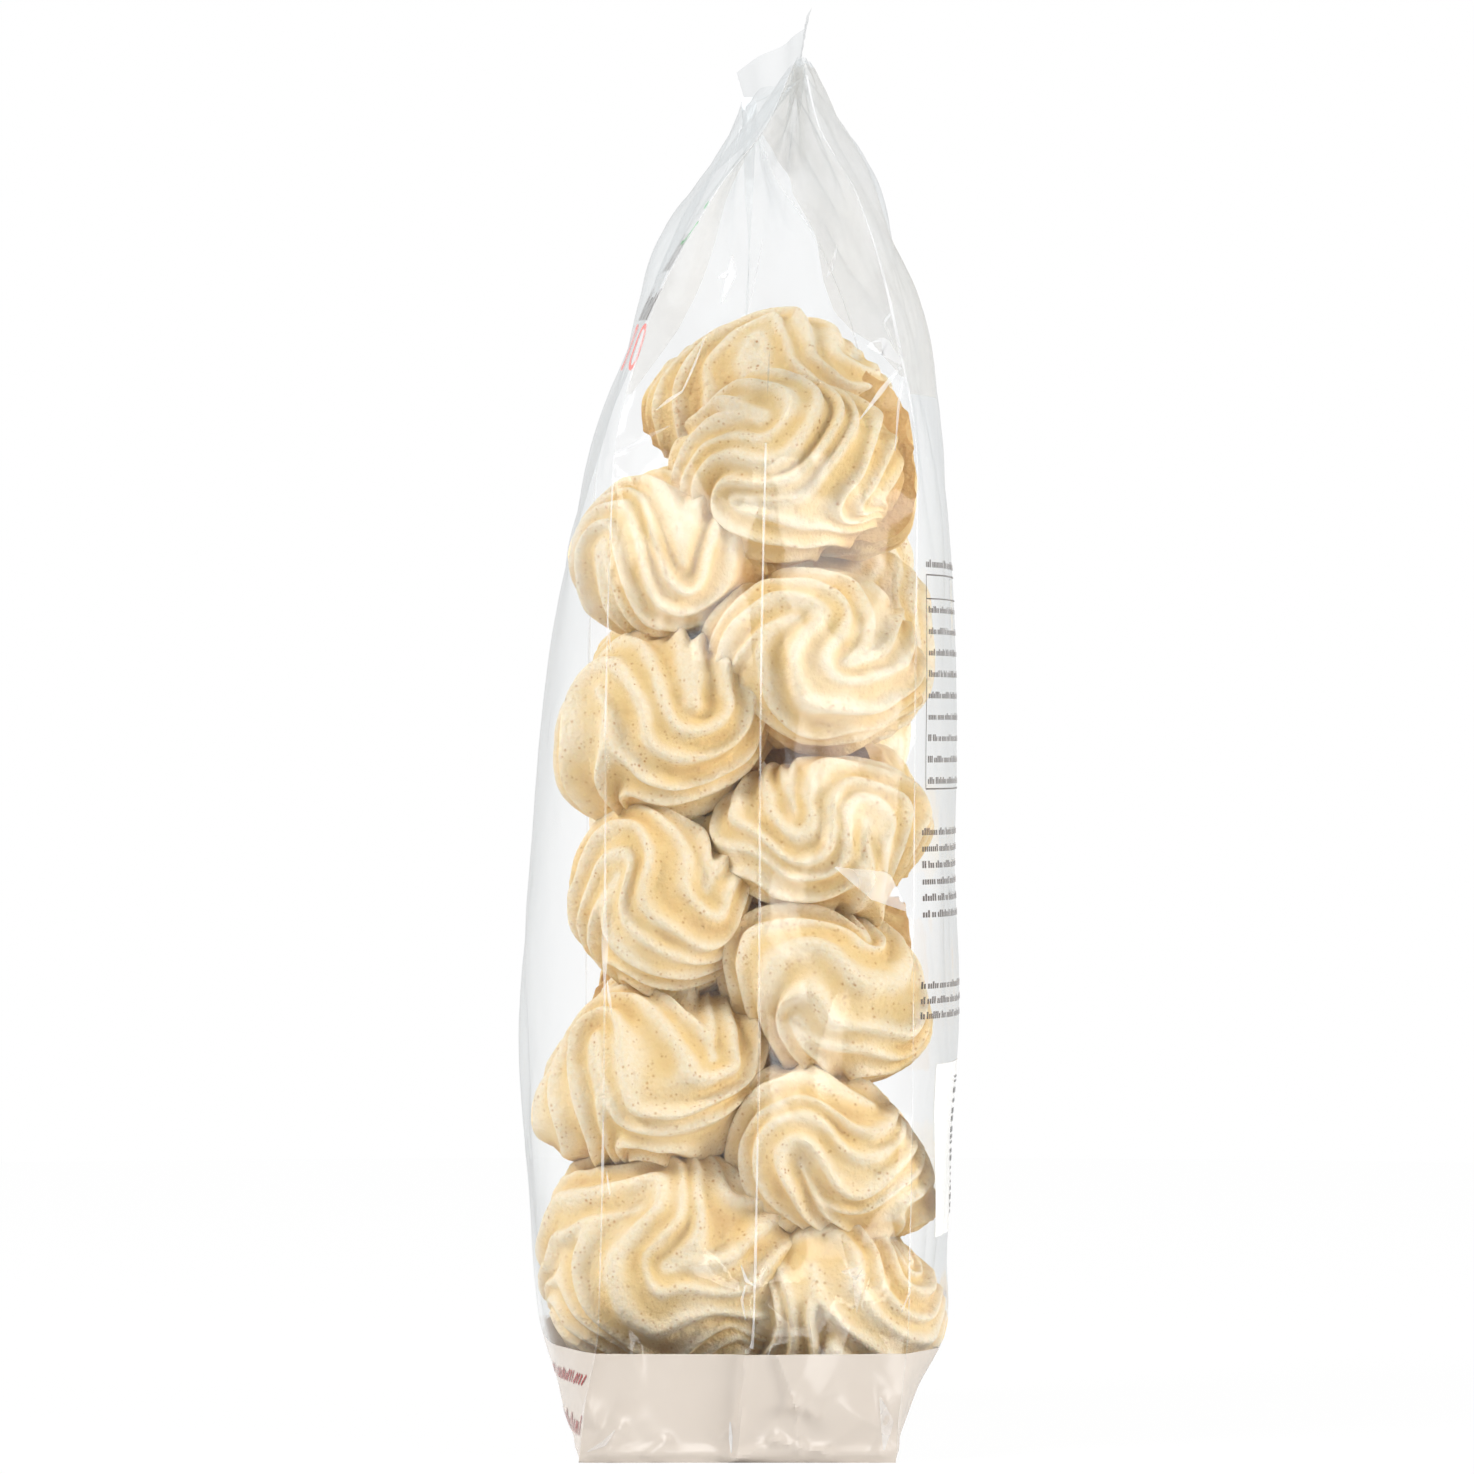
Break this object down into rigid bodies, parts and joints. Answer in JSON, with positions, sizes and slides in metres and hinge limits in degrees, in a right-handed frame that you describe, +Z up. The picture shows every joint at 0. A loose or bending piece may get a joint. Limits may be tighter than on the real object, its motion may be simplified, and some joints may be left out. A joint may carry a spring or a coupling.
{
  "type": "bag of meringues",
  "caption": "Clear sealed block-bottom bag of piped meringue shells, standing upright, with pleated side gussets, a pale printed foot band and a leaning heat-sealed top.",
  "frame": {"origin": "middle of the base, on the surface the bag stands on", "axes": "+Z up along the bag, X through the bag from the front panel (-X) to the back panel (+X), Y along the panels from the near gusset (-Y) to the far gusset (+Y)"},
  "size_m": [0.1035, 0.1468, 0.335],
  "materials": {
    "film": "clear glossy thin film, lightly creased",
    "meringue": "matte baked sugar foam, cream to light tan, finely speckled",
    "foot_print": "opaque pale cream printed film",
    "ink": "flat printed colour on film"
  },
  "bodies": {
    "root": {"sealed_bag": "film"}
  },
  "joints": []
}
